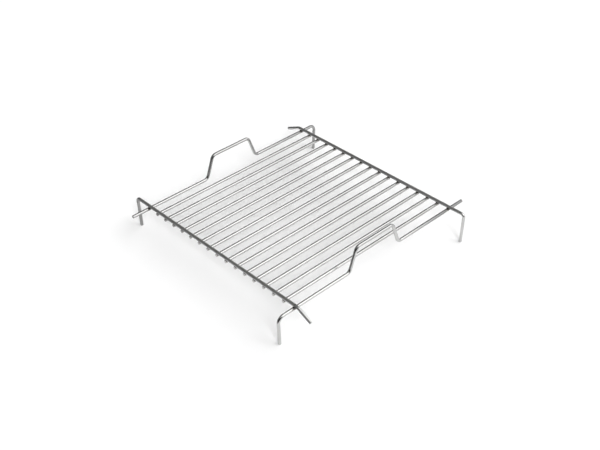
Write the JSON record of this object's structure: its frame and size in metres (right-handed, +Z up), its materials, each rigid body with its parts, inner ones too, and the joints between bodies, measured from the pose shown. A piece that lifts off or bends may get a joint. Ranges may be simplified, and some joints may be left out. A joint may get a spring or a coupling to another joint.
{
  "type": "grill grate",
  "caption": "Square grill grate of welded round wire: parallel rods under cross bars, outer bars raised into trapezoid handles, and bar ends bent down as short legs.",
  "frame": {"origin": "middle of the grate on the ground that its legs stand on", "axes": "+X along the cross bars, +Y along the rods, +Z up"},
  "size_m": [0.385, 0.3848, 0.0865],
  "materials": {
    "cross_bar_steel": "electropolished stainless wire, darker where it was welded",
    "handle_bar_steel": "electropolished stainless wire, bright along its top",
    "grill_rod_steel": "electropolished stainless wire, bright along its top"
  },
  "bodies": {
    "root": {"cross_bar_front": "cross_bar_steel", "cross_bar_back": "cross_bar_steel", "handle_bar_left": "handle_bar_steel", "handle_bar_right": "handle_bar_steel", "grill_rod_01": "grill_rod_steel", "grill_rod_02": "grill_rod_steel", "grill_rod_03": "grill_rod_steel", "grill_rod_04": "grill_rod_steel", "grill_rod_05": "grill_rod_steel", "grill_rod_06": "grill_rod_steel", "grill_rod_07": "grill_rod_steel", "grill_rod_08": "grill_rod_steel", "grill_rod_09": "grill_rod_steel", "grill_rod_10": "grill_rod_steel", "grill_rod_11": "grill_rod_steel", "grill_rod_12": "grill_rod_steel", "grill_rod_13": "grill_rod_steel", "grill_rod_14": "grill_rod_steel", "grill_rod_15": "grill_rod_steel"}
  },
  "joints": []
}
